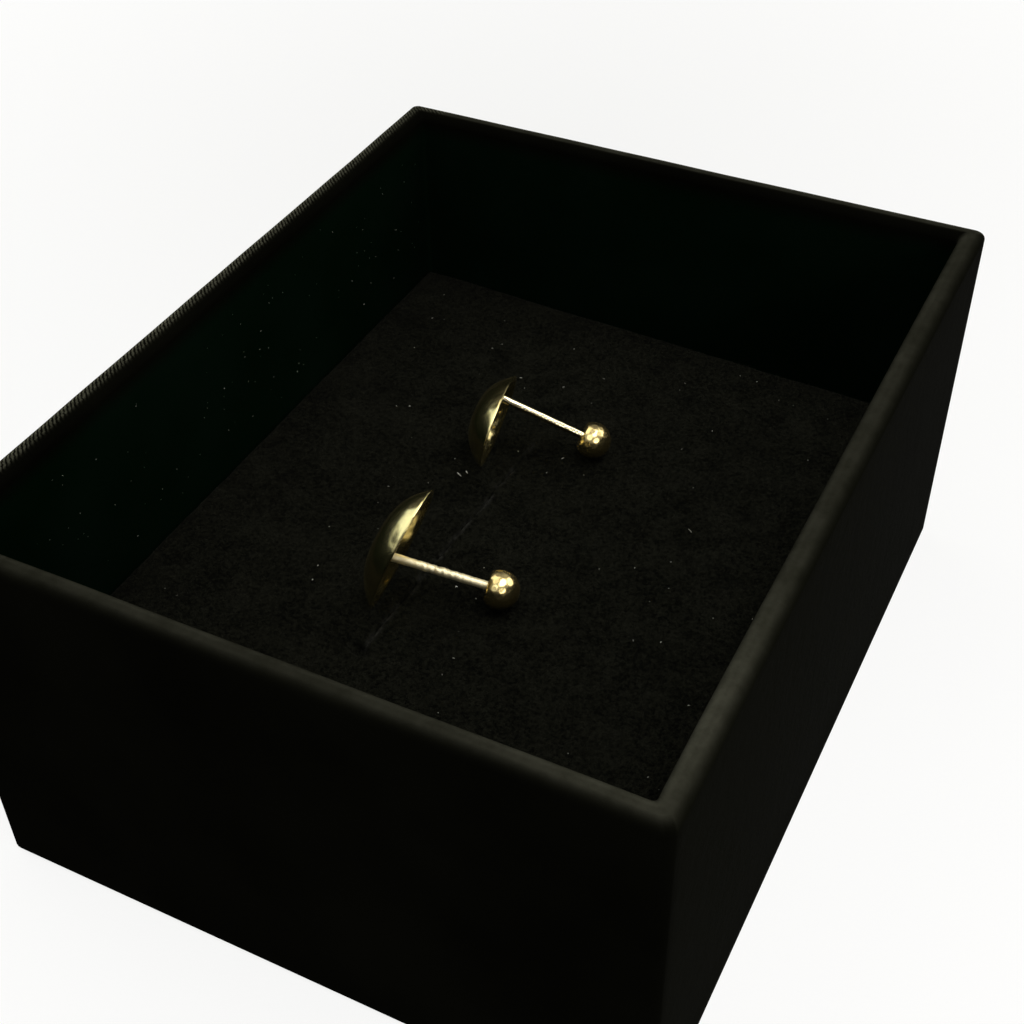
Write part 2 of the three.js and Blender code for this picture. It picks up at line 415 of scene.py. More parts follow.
def paper_material():
    """Black coated paper: fine grain and woven ribs, paler along the folded rims as a painted
    highlight with some rubbing, and lighter on the right face as painted light.
    """
    n = Nodes("box_paper")
    place = n.place()
    grain = n.noise(place, scale=5200, detail=6, rough=0.7)
    cloudy = n.noise(place, scale=60, detail=3, rough=0.5)
    patchy = n.noise(place, scale=420, detail=4, rough=0.7)
    ribs = n.add("ShaderNodeTexWave", wave_type="BANDS", bands_direction="DIAGONAL")
    for entry, value in (("Scale", 1150), ("Distortion", 3), ("Detail", 3), ("Detail Scale", 3)):
        ribs.inputs[entry].default_value = value
    n.link(place, "Object", ribs, "Vector")
    face = n.ramp(cloudy, "Fac", [(0.30, FACE_PAPER[0]), (0.70, FACE_PAPER[1])])
    inside = n.ramp(cloudy, "Fac", [(0.30, INSIDE_PAPER[0]), (0.70, INSIDE_PAPER[1])])
    rim = n.ramp(patchy, "Fac", [(0.30, RIM_HIGHLIGHT_AND_RUB_PAPER[0]), (0.70, RIM_HIGHLIGHT_AND_RUB_PAPER[1])])
    weave = n.ramp(ribs, "Color", [(0.15, RIB_SHADES[0]), (0.85, RIB_SHADES[1])])
    inner, woven, highlight_and_rub, lit_right_face = [n.attribute(name) for name in ("inner", "woven", "highlight_and_rub", "lit_right_face")]
    # Painted light: the right face is mixed towards a lighter paper.
    outside = n.mix((lit_right_face, "Fac"), (face, "Color"), LIT_RIGHT_FACE_PAPER)
    plain = n.mix((inner, "Fac"), (outside, MIX_RESULT), (inside, "Color"))
    ribbed = n.mix((woven, "Fac"), (rim, "Color"), (weave, "Color"), "MULTIPLY")
    # Painted highlight with some rubbing: the rims are mixed towards the pale, ribbed paper.
    n.colour(n.mix((highlight_and_rub, "Fac"), (plain, MIX_RESULT), (ribbed, MIX_RESULT)), MIX_RESULT)
    gloss = n.ramp(grain, "Fac", [(0.3, 0.34), (0.7, 0.52)])
    n.roughness(gloss, "Color")
    first = n.bump(grain, "Fac", strength=0.30, distance=0.00005)
    n.normal(n.bump(patchy, "Fac", strength=0.25, distance=0.00030, after=first))
    n.set(Specular_IOR_Level=PAPER_SPECULAR)
    return n.material


def flock_material(name, shades):
    """Black flock: no gloss, mottled where the pile leans, with the soft rim sheen of velour."""
    n = Nodes(name)
    place = n.place()
    mottle = n.noise(place, scale=220, detail=5, rough=0.65)
    fine = n.noise(place, scale=2600, detail=3, rough=0.75)
    both = n.math("ADD", (n.math("MULTIPLY", (mottle, "Fac"), 0.30), 0),
                  (n.math("MULTIPLY", (fine, "Fac"), 0.70), 0))
    tint = n.ramp(both, 0, [(0.40, shades[0]), (0.62, shades[1])])
    n.colour(n.mix((n.attribute("rubbed"), "Fac"), (tint, "Color"), RUBBED_FLOCK), MIX_RESULT)
    n.set(Roughness=0.95, Specular_IOR_Level=0.004)
    n.set(Sheen_Weight=0.012, Sheen_Roughness=0.45, Sheen_Tint=(0.80, 0.80, 0.70, 1))
    first = n.bump(fine, "Fac", strength=0.9, distance=0.00022)
    n.normal(n.bump(mottle, "Fac", strength=0.5, distance=0.0004, after=first))
    return n.material


def gold_material(name, colour, rough, hammer):
    """Yellow gold: buffed with hairline scratches, slightly uneven as thin pressed sheet is."""
    n = Nodes(name)
    place = n.place()
    uneven = n.noise(place, scale=320, detail=2, rough=0.5)
    tint = n.ramp(uneven, "Fac", [(0.3, tuple(0.88 * c for c in colour)), (0.7, colour)])
    n.colour(n.mix((n.attribute("pale"), "Fac"), (tint, "Color"), PALE_GOLD), MIX_RESULT)
    n.set(Metallic=1.0)
    hair = n.noise(place, scale=6000, detail=5, rough=0.8)
    gloss = n.ramp(hair, "Fac", [(0.25, rough), (0.75, rough + 0.06)])
    dull = n.math("MULTIPLY", (n.attribute("satin"), "Fac"), SATIN_ROUGHNESS)
    n.roughness(n.math("ADD", (gloss, "Color"), (dull, 0)), 0)
    first = n.bump(hair, "Fac", strength=0.10, distance=0.00002)
    n.normal(n.bump(uneven, "Fac", strength=hammer, distance=0.0004, after=first))
    return n.material


def lint_material():
    """Pale fibres and dust."""
    n = Nodes("lint")
    fibre = n.noise(n.place(), scale=900, detail=2, rough=0.5)
    n.colour(n.ramp(fibre, "Fac", [(0.35, LINT_SHADES[0]), (0.65, LINT_SHADES[1])]), "Color")
    n.set(Roughness=0.9)
    return n.material


def floor_material():
    """A pale floor that glows by itself, so that it is plain and even, with soft shadows, and with
    a painted shadow behind the box where it glows less.
    """
    n = Nodes("studio_floor")
    place = n.place()
    cloudy = n.noise(place, scale=3, detail=2, rough=0.5)
    n.colour(n.ramp(cloudy, "Fac", [(0.3, FLOOR_SHADES[0]), (0.7, FLOOR_SHADES[1])]), "Color")
    n.set(Roughness=0.9, Specular_IOR_Level=0.1, Emission_Strength=FLOOR_GLOW)
    # Painted shadow: the glow is dimmer round a spot behind the box.
    away = n.add("ShaderNodeVectorMath", operation="DISTANCE")
    n.link(place, "Object", away, 0)
    away.inputs[1].default_value = SHADED_SPOT
    near = n.math("SUBTRACT", 1.0, (n.math("MULTIPLY", (away, "Value"), SHADED_FALL), 0))
    glow = n.ramp(near, 0, [(0.35, (1, 1, 0.995)), (0.95, (0.90, 0.90, 0.895))])
    n.link(glow, "Color", n.shader, "Emission Color")
    return n.material


PAPER = paper_material()
FLOCK = flock_material("pad_flock", PAD_FLOCK)
PILE = flock_material("pad_pile", PILE_FLOCK)
GOLD = gold_material("gold", STUD_GOLD, rough=0.17, hammer=0.55)
GOLD_BACK = gold_material("gold_back", BACK_GOLD, rough=0.22, hammer=0.06)
LINT = lint_material()


# ---------------------------------------------------------------- gift box
def ring(inset, z, corner):
    """A rounded rectangle inside the box's outline, as points in order round it."""
    half = (BOX_HIGH[:2] - BOX_LOW[:2]) / 2 - inset
    across, along = [int(round(side / OUTLINE_STEP)) for side in BOX_HIGH[:2] - BOX_LOW[:2]]
    sx, sy = half - corner
    middles = [np.array(m) for m in ((sx, -sy), (sx, sy), (-sx, sy), (-sx, -sy))]
    points = []
    for quarter, count in enumerate((along, across, along, across)):
        middle, following = middles[quarter], middles[(quarter + 1) % 4]
        for k in range(CORNER_POINTS):
            a = math.pi / 2 * (quarter - 1 + k / (CORNER_POINTS - 1))
            edge = corner * np.array([math.cos(a), math.sin(a)])
            points.append(middle + edge)
        for k in range(1, count):
            points.append(middle + edge + (following - middle) * k / count)
    return np.column_stack([np.array(points), np.full(len(points), z)])


def rim_highlight_and_rub(points, into_box):
    """How far the folded rim is painted pale, as a painted highlight with some rubbing, and how far
    its ribbed weave shows, from 0 to 1.
    """
    # Each point's way out of the box: across its own wall, and across both walls at a corner.
    over = np.clip(np.abs(points[:, :2]) - (BOX_HIGH[:2] - WALL - 1), 0, None)
    over[:, 0] *= over[:, 0] >= over[:, 1] * CORNER_SHARE
    over[:, 1] *= over[:, 1] >= over[:, 0] * CORNER_SHARE
    outward = np.sign(points[:, :2]) * over
    outward /= np.maximum(np.linalg.norm(outward, axis=1), 1e-6)[:, None]
    # Painted highlight: palest where the fold leans a set way, over an arc, as light falls on it.
    lean = -into_box * (outward @ HIGHLIGHT_TOWARDS)
    far = outward @ HIGHLIGHT_TOWARDS > 0
    arc = np.where(far, HIGHLIGHT_ARC_FAR, HIGHLIGHT_ARC)
    middle = np.where(far, HIGHLIGHT_MIDDLE_FAR, HIGHLIGHT_MIDDLE)
    lit_arc = np.exp(-((np.arcsin(np.clip(lean, -1, 1)) - middle) / arc) ** 2)
    lit_arc *= np.sqrt(np.clip(1 - into_box ** 2, 0, 1)) ** 0.5
    # Near one spot on the right wall the painted highlight and rubbing are stronger.
    spot_boost = np.exp(-(np.linalg.norm(points[:, :2] - RIM_BRIGHT_SPOT, axis=1) / RIM_BRIGHT_SPOT_REACH) ** 2)
    woven = 1.0 * (points[:, 0] < BOX_LOW[0] + 2 * WALL)
    highlight_and_rub = np.where(far, RIM_HIGHLIGHT_AND_RUB_FAR, RIM_HIGHLIGHT_AND_RUB)
    return lit_arc * (highlight_and_rub + (1 - highlight_and_rub) * spot_boost), woven


def box_section():
    """The wall's section, up the outside, over the rounded rim and down the inside: each point's
    inset from the box's outline, its height, how far it faces into the box and if it is inside."""
    top = BOX_HIGH[2]
    section = []
    for a in np.linspace(0, math.pi / 2, FOOT_STEPS + 1):
        section.append((RIM - RIM * math.sin(a), RIM - RIM * math.cos(a), -1, 0))
    for z in np.linspace(WALL_MARGIN, top - WALL_MARGIN, WALL_ROWS):
        section.append((0.0, z, -1, 0))
    quarter = np.linspace(0, math.pi / 2, RIM_STEPS + 1)
    for a in quarter:
        section.append((RIM - RIM * math.cos(a), top - RIM + RIM * math.sin(a), -math.cos(a), 0))
    for a in quarter:
        inset = WALL - RIM + RIM * math.sin(a)
        section.append((inset, top - RIM + RIM * math.cos(a), math.sin(a), 0))
    for z in np.linspace(top - WALL_MARGIN, FLOOR, WALL_ROWS):
        section.append((WALL, z, 1, 1))
    return section


def bowed(points):
    """The walls as real card: bowed in slightly between the corners, with a slightly wavy rim."""
    high = BOX_HIGH[:2]
    share = np.abs(points[:, :2]) / high
    long_side = share[:, 0] > share[:, 1]
    normal = np.zeros_like(points)
    normal[long_side, 0] = np.sign(points[long_side, 0])
    normal[~long_side, 1] = np.sign(points[~long_side, 1])
    along = np.where(long_side, share[:, 1], share[:, 0])
    fade = np.clip((1 - along) / WALL_BOW_FADE, 0, 1) * (points[:, 2] > FLOOR + 0.01)
    inward = -WALL_BOW - WALL_BOW_VARIES * smooth_noise(points, WALL_BOW_SIZE, seed=5)
    bent = points + normal * (inward * fade)[:, None]
    near_rim = bent[:, 2] > BOX_HIGH[2] - WALL_MARGIN
    waves = RIM_WAVES * smooth_noise(bent[:, :2], RIM_WAVE_SIZE, seed=8)
    bent[:, 2] += near_rim * (waves - RIM_DROP)
    return bent


def make_box():
    """The open box's four walls and floor as one folded and wrapped piece of card."""
    section = box_section()
    rings = []
    for inset, z, _, _ in section:
        corner = OUTER_CORNER + (INNER_CORNER - OUTER_CORNER) * inset / WALL
        rings.append(ring(inset, z, corner))
    cols = len(rings[0])
    points = np.vstack(rings)
    into_box = np.repeat([float(row[2]) for row in section], cols)
    inner = np.repeat([float(row[3]) for row in section], cols)
    # Painted highlight with some rubbing along the rims.
    highlight_and_rub, woven = rim_highlight_and_rub(points, into_box)
    # Painted light: the right wall's outer face is lighter, as light falling on that side, less so
    # towards its back.
    right_face = (points[:, 0] > BOX_HIGH[0] - RIM) * (into_box < 0.5)
    from_front = points[:, 1] - BOX_LOW[1]
    lit_right_face = right_face * np.clip(from_front / LIT_RIGHT_FACE_EDGE, 0, 1)
    lit_right_face *= 1 - LIT_RIGHT_FACE_LESS * from_front / (BOX_HIGH[1] - BOX_LOW[1])
    faces = grid_faces(len(section), cols, wrap=True)
    faces.append(tuple(reversed(range(cols))))
    faces.append(tuple(range((len(section) - 1) * cols, len(section) * cols)))
    box = add_mesh("gift_box", bowed(points), faces, PAPER)
    float_attribute(box, "highlight_and_rub", highlight_and_rub)
    float_attribute(box, "woven", woven)
    float_attribute(box, "inner", inner)
    float_attribute(box, "lit_right_face", lit_right_face)
    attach(box, ROOT)
    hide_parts("gift_box_tray")


# ---------------------------------------------------------------- foam pad
def slit_x(y):
    """The slit's place across the pad at a place along it."""
    t = (y - SLIT_FRONT[1]) / (SLIT_BACK[1] - SLIT_FRONT[1])
    return SLIT_FRONT[0] + (SLIT_BACK[0] - SLIT_FRONT[0]) * t


def slit_place(x, y):
    """Distance across the slit, and 1 along it fading to 0 at its ends."""
    off = x - slit_x(y) - SLIT_WANDER * np.sin(y * SLIT_WANDER_RATE)
    along = np.clip((y - SLIT_FRONT[1]) / SLIT_FADE_FRONT, 0, 1)
    along = along * np.clip((SLIT_BACK[1] - y) / SLIT_FADE_BACK, 0, 1)
    return off, along


def back_edge(x):
    """The pad's back edge, which is cut out of square."""
    t = (x - PAD_LOW[0]) / (PAD_HIGH[0] - PAD_LOW[0])
    return PAD_HIGH[1] - PAD_BACK_DROP * t


def pad_top(x, y):
    """Height of the pad's surface: slightly wavy, with eased edges and a slit with raised lips
    that ends in a notch at the front."""
    flat = np.column_stack([x, y])
    z = np.full(len(x), PAD_HIGH[2] - PAD_SUNK)
    z += noises(flat, PAD_WAVES)
    gap = np.minimum.reduce([x - PAD_LOW[0], PAD_HIGH[0] - x, y - PAD_LOW[1], back_edge(x) - y])
    inside = np.clip(gap / PAD_EDGE, 0, 1)
    z -= PAD_EDGE * (1 - np.sqrt(np.clip(1 - (1 - inside) ** 2, 0, 1)))
    off, along = slit_place(x, y)
    z += along * LIP_RISE * np.exp(-((np.abs(off) - LIP_FROM_SLIT) / LIP_SPREAD) ** 2)
    z -= along * SLIT_SHOWN_DEPTH * np.exp(-(off / SLIT_SHOWN_WIDTH) ** 2)
    across, lengthwise = NOTCH_SIZE
    from_notch = ((x - SLIT_FRONT[0]) / across) ** 2
    from_notch += ((y - SLIT_FRONT[1] - NOTCH_BACK) / lengthwise) ** 2
    z -= NOTCH_DEPTH * np.exp(-from_notch ** 2)
    return z


def slit_rub(x, y):
    """How far the pile is worn pale beside the nearly closed slit, from 0 to 1."""
    off, along = slit_place(x, y)
    flat = np.column_stack([x, y])
    patchy = noises(flat, RUB_PATCHES, RUB_LEVEL)
    return along * np.clip(patchy, 0, 1) * np.exp(-((off - RUB_FROM_SLIT) / RUB_SPREAD) ** 2)


def pad_grid():
    """Rows of places on the pad's top, closest together along its front and back edges and,
    within each row, beside the slit."""
    beside_slit = np.array([0.05, 0.11, 0.18, 0.26, 0.36, 0.48, 0.62, 0.8, 1.05, 1.35, 1.7])
    reach = beside_slit[-1]
    offsets = np.concatenate([-beside_slit[::-1], [0], beside_slit])
    edge = np.linspace(0, PAD_EDGE, PAD_EDGE_ROWS)[:-1] / PAD_ROUND_LENGTH
    middle = np.linspace(0, 1, PAD_ROWS)[PAD_ROWS_REPLACED:-PAD_ROWS_REPLACED]
    even = np.linspace(0, 1, PAD_SIDE_COLUMNS + 1)[:-1]
    eased = 0.5 * even + 0.5 * (1 - np.cos(even * math.pi)) / 2
    rows = []
    for t in np.concatenate([edge, middle, 1 - edge[::-1]]):
        slit = slit_x(PAD_LOW[1] + (PAD_HIGH[1] - PAD_LOW[1]) * t)
        left = PAD_LOW[0] + (slit - reach - PAD_LOW[0]) * eased
        right = PAD_HIGH[0] - (PAD_HIGH[0] - slit - reach) * eased
        x = np.concatenate([left, slit + offsets, right[::-1]])
        rows.append(np.column_stack([x, PAD_LOW[1] + (back_edge(x) - PAD_LOW[1]) * t]))
    return rows


def make_pad():
    """The flocked foam block with its detailed top and plain sides."""
    grid = pad_grid()
    rows, cols = len(grid), len(grid[0])
    flat = np.vstack(grid)
    top = np.column_stack([flat, pad_top(flat[:, 0], flat[:, 1])])
    faces = grid_faces(rows, cols)
    # The outline of the top goes down to the pad's underside.
    outline = list(range(cols)) + [r * cols + cols - 1 for r in range(1, rows)]
    outline += [(rows - 1) * cols + c for c in range(cols - 2, -1, -1)]
    outline += [r * cols for r in range(rows - 2, 0, -1)]
    skirt = top[outline].copy()
    skirt[:, 2] = PAD_LOW[2]
    start = len(top)
    count = len(outline)
    for k in range(count):
        m = (k + 1) % count
        faces.append((outline[m], outline[k], start + k, start + m))
    faces.append(tuple(reversed(range(start, start + count))))
    points = np.vstack([top, skirt])
    pad = add_mesh("foam_pad_flocked", points, faces, FLOCK)
    float_attribute(pad, "rubbed", slit_rub(points[:, 0], points[:, 1]))
    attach(pad, ROOT)
    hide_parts("foam_pad")


def make_pile():
    """The flock's short fibres, standing and leaning all over the top of the pad."""
    rng = np.random.default_rng(PILE_SEED)
    count = PILE_FIBRES
    x = rng.uniform(PAD_LOW[0] + PILE_MARGIN, PAD_HIGH[0] - PILE_MARGIN, count)
    reach = back_edge(x) - 2 * PILE_MARGIN - PAD_LOW[1]
    y = PAD_LOW[1] + PILE_MARGIN + reach * rng.uniform(0, 1, count)
    z = pad_top(x, y)
    base = np.column_stack([x, y, z - PILE_ROOT])
    turn = rng.uniform(0, 2 * math.pi, count)
    lean = rng.normal(0, PILE_LEAN_VARIES, (count, 2)) + PILE_LEAN
    height = rng.uniform(*PILE_HEIGHTS, count)
    tip = base + np.column_stack([lean[:, 0] * height, lean[:, 1] * height, height + PILE_ROOT])
    side = PILE_HALF_WIDTH * np.column_stack([np.cos(turn), np.sin(turn), np.zeros(count)])
    verts = np.empty((count * 3, 3))
    verts[0::3] = base - side
    verts[1::3] = base + side
    verts[2::3] = tip
    mesh = bpy.data.meshes.new("pad_pile")
    mesh.vertices.add(count * 3)
    mesh.vertices.foreach_set("co", (verts * MM).ravel())
    mesh.loops.add(count * 3)
    mesh.loops.foreach_set("vertex_index", np.arange(count * 3, dtype=np.int32))
    mesh.polygons.add(count)
    mesh.polygons.foreach_set("loop_start", np.arange(0, count * 3, 3, dtype=np.int32))
    mesh.update()
    mesh.validate()
    mesh.materials.append(PILE)
    pile = bpy.data.objects.new("pad_pile", mesh)
    bpy.context.scene.collection.objects.link(pile)
    float_attribute(pile, "rubbed", PILE_RUBBED * slit_rub(verts[:, 0], verts[:, 1]))
    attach(pile, ROOT)


# ---------------------------------------------------------------- earrings
def turned(profile, sides):
    """Rows of points of a shape turned about +Z from (radius, height) pairs."""
    a = np.linspace(0, 2 * math.pi, sides, endpoint=False)
    rows = [np.column_stack([r * np.cos(a), r * np.sin(a), np.full(sides, z)]) for r, z in profile]
    return np.vstack(rows), grid_faces(len(profile), sides, wrap=True)


def pose_matrix(joint_name):
    """The post's frame: +Z runs along the post from dome to ball, with the ball at the origin."""
    joint = next(j for j in frame["record"]["behaviour"]["joints"] if j["name"] == joint_name)
    ax, ay, az = joint["axis"]
    heading = math.atan2(ay, ax)
    drop = math.asin(-az / math.sqrt(ax * ax + ay * ay + az * az))
    turn = Matrix.Rotation(heading, 4, "Z") @ Matrix.Rotation(math.pi / 2 + drop, 4, "Y")
    return Matrix.Translation(Vector(joint["pos_m"]) / MM) @ turn


def moved(points, matrix):
    """Points in another frame."""
    m = np.array(matrix)
    return points @ m[:3, :3].T + m[:3, 3]


def dome_profile():
    """The dome's section, out from its middle to the rim, over the rounded lip and back inside,
    as shares of the radius and heights in mm."""
    middle = (1 + DOME_REACH_IN) / 2
    spread = (1 - DOME_REACH_IN) / 2
    shares = [k / DOME_RINGS for k in range(1, DOME_RINGS + 1)]
    outside = [(q, -DOME_DEPTH * (1 - q ** DOME_CURVE)) for q in shares]
    lip = []
    for k in range(1, LIP_STEPS):
        a = math.pi * k / LIP_STEPS
        lip.append((middle + spread * math.cos(a), LIP_HEIGHT * math.sin(a)))
    depth = DOME_DEPTH - DOME_WALL
    inside = [(q * DOME_REACH_IN, -depth * (1 - q ** DOME_CURVE)) for q in reversed(shares)]
    return outside + lip + inside


def nearness(where, place):
    """1 in one direction round the dome's middle, fading to 0 over a spread of degrees."""
    apart = (where - place["way"] + 180) % 360 - 180
    return np.exp(-(apart / place["spread"]) ** 2)


def dome_points(facts):
    """The points and faces of a thin pressed dome, and how satin the bead of solder makes it.
    Its outside has faint dents. Its inside is lumpy, most of all at the bead."""
    profile = dome_profile()
    unit, faces = turned(profile, DOME_SIDES)
    where = np.degrees(np.arctan2(unit[:, 1], unit[:, 0]))
    radius = np.hypot(unit[:, 0], unit[:, 1])
    points = unit * np.array([DOME_LENGTH / 2, DOME_WIDTH / 2, 1.0])
    swell = facts["swell"]
    points[:, :2] *= (1 + swell["share"] * nearness(where, swell))[:, None]
    inner = np.repeat(np.arange(len(profile)) >= DOME_RINGS + LIP_STEPS, DOME_SIDES)
    dents = DENT_DEPTH * smooth_noise(points, DENT_SIZE, facts["seed"])
    dents *= np.clip((1 - radius) * 5, 0, 1)
    lumps = facts["lumps"]
    bead = facts["bead"]
    along = nearness(where, bead)
    ridge = np.exp(-((radius - BEAD_AT) / BEAD_HALF_WIDTH) ** 2)
    rough = lumps["height"] * smooth_noise(points, lumps["size"], facts["seed"] + 1)
    rough = rough * (0.3 + 0.7 * along) + bead["height"] * along * ridge
    rough *= np.clip((DOME_REACH_IN - radius) / 0.025, 0, 1)
    points[:, 2] += np.where(inner, rough, dents)
    pole = len(points)
    last = (len(profile) - 1) * DOME_SIDES
    for k in range(DOME_SIDES):
        m = (k + 1) % DOME_SIDES
        faces.append((pole, m, k))
        faces.append((pole + 1, last + k, last + m))
    points = np.vstack([points, [[0, 0, -DOME_DEPTH], [0, 0, DOME_WALL - DOME_DEPTH]]])
    points[:, :2] += POST_OFFSET
    return points, faces, np.append(BEAD_SATIN * inner * along, [0, 0])


def dome_inside(x, y):
    """Height of the dome's inner surface in the dome's frame."""
    q = np.hypot((x - POST_OFFSET[0]) * 2 / DOME_LENGTH, (y - POST_OFFSET[1]) * 2 / DOME_WIDTH)
    return -(DOME_DEPTH - DOME_WALL) * (1 - (q / DOME_REACH_IN) ** DOME_CURVE)


def post_points(uneven):
    """The ear post with its faint thread and worn middle, spreading into solder at its foot."""
    end = POST_TO_BALL + POST_END
    foot_heights = np.linspace(*FOOT_SPAN, FOOT_ROWS)
    shaft_heights = np.linspace(SHAFT_FROM, end - SHAFT_TO_END, SHAFT_ROWS)
    a = np.linspace(0, 2 * math.pi, POST_SIDES, endpoint=False)
    rows = []
    for z in np.concatenate([foot_heights, shaft_heights]):
        foot = SOLDER_SPREAD * math.exp(-max(0.0, z - SOLDER_FROM) / SOLDER_FALL)
        fade = min(1.0, max(0.0, z - THREAD_FROM))
        phase = (z / THREAD_PITCH - a / (2 * math.pi)) % 1.0
        groove = THREAD_DEPTH * fade * (0.5 + 0.5 * np.cos(2 * math.pi * phase))
        middle = math.exp(-((z / POST_TO_BALL - UNEVEN_AT) / UNEVEN_SPREAD) ** 2)
        waves = sum(np.sin(z * along + around * a) for along, around in UNEVEN_WAVES)
        lumps = uneven * middle * waves / len(UNEVEN_WAVES)
        r = POST_RADIUS + foot - groove + lumps
        rows.append(np.column_stack([r * np.cos(a), r * np.sin(a), np.full(POST_SIDES, z)]))
    for share, from_end in POST_TIP:
        r = POST_RADIUS * share
        z = end - from_end
        rows.append(np.column_stack([r * np.cos(a), r * np.sin(a), np.full(POST_SIDES, z)]))
    faces = grid_faces(len(rows), POST_SIDES, wrap=True)
    faces.append(tuple(range((len(rows) - 1) * POST_SIDES, len(rows) * POST_SIDES)))
    faces.append(tuple(reversed(range(POST_SIDES))))
    return np.vstack(rows), faces


def ball_points():
    """A screw-on ball: bored collar face towards the dome, then a full round back."""
    face = math.sqrt(BALL_RADIUS ** 2 - BALL_FACE ** 2)
    # Radius and height above the face, from the bore's end to its chamfered mouth, over the low
    # ring round the mouth and out to the collar's rounded edge.
    collar = [(BORE_RADIUS, BALL_FACE + 0.7), (BORE_RADIUS, 0.10), (BORE_RADIUS + 0.10, 0),
              (0.80, 0), (0.84, 0.03), (face - 0.16, 0.03), (face - 0.05, 0.02), (face + 0.02, 0.09)]
    profile = [(r, above - BALL_FACE) for r, above in collar]
    first = math.asin((ROUND_FROM - BALL_FACE) / BALL_RADIUS)
    for k in range(BALL_RINGS):
        angle = first + (math.pi / 2 - first) * k / BALL_RINGS
        profile.append((BALL_RADIUS * math.cos(angle), BALL_RADIUS * math.sin(angle)))
    points, faces = turned(profile, BALL_SIDES)
    pole = len(points)
    last = (len(profile) - 1) * BALL_SIDES
    for k in range(BALL_SIDES):
        faces.append((pole, last + k, last + (k + 1) % BALL_SIDES))
    faces.append(tuple(reversed(range(BALL_SIDES))))
    points = np.vstack([points, [[0, 0, BALL_RADIUS]]])
    return flattened(points, first_round=len(collar) * BALL_SIDES), faces


def flattened(points, first_round):
    """Cuts the ball's round part back to its ground flats, by moving points towards its middle."""
    limit = BALL_RADIUS * math.cos(math.radians(FLAT_HALF_ANGLE))
    ball = points[first_round:]
    for row, (polar, count) in enumerate(BALL_FLATS):
        tilt = math.radians(polar)
        for k in range(count):
            turn = 2 * math.pi * (k + 0.5 * (row % 2)) / count
            sideways = math.sin(tilt)
            normal = np.array([sideways * math.cos(turn), sideways * math.sin(turn), math.cos(tilt)])
            reach = ball @ normal
            ball *= np.where(reach > limit, limit / np.maximum(reach, limit), 1.0)[:, None]
    return points


def make_stud(name, facts):
    """One stud with its post soldered in its dome, and the ball that turns on the post."""
    to_row = pose_matrix(f"{name}_back_turn")
    rx, ry, rz = [math.radians(a) for a in facts["cant"]]
    cant = Matrix.Rotation(rx, 4, "X") @ Matrix.Rotation(ry, 4, "Y") @ Matrix.Rotation(rz, 4, "Z")
    to_stud = to_row @ Matrix.Translation((0, 0, -POST_TO_BALL))
    dome, dome_faces, satin = dome_points(facts)
    post, post_faces = post_points(facts["uneven"])
    post = moved(post, cant.inverted())
    post[:, 2] = np.maximum(post[:, 2], dome_inside(post[:, 0], post[:, 1]) - FOOT_SUNK)
    points = moved(np.vstack([dome, post]), to_stud @ cant)
    faces = dome_faces + [tuple(i + len(dome) for i in f) for f in post_faces]
    stud = add_mesh(f"{name}_stud_gold", points, faces, GOLD)
    float_attribute(stud, "satin", np.append(satin, np.full(len(post), facts["dull"])))
    float_attribute(stud, "pale", np.append(np.zeros(len(dome)), np.full(len(post), POST_PALE)))
    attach(stud, ROOT)
    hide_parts(f"{name}_stud")
    ball, ball_faces = ball_points()
    back = add_mesh(f"{name}_ball_back_gold", moved(ball, to_row), ball_faces, GOLD_BACK)
    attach(back, f"{name}_back")
    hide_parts(f"{name}_ball_back")


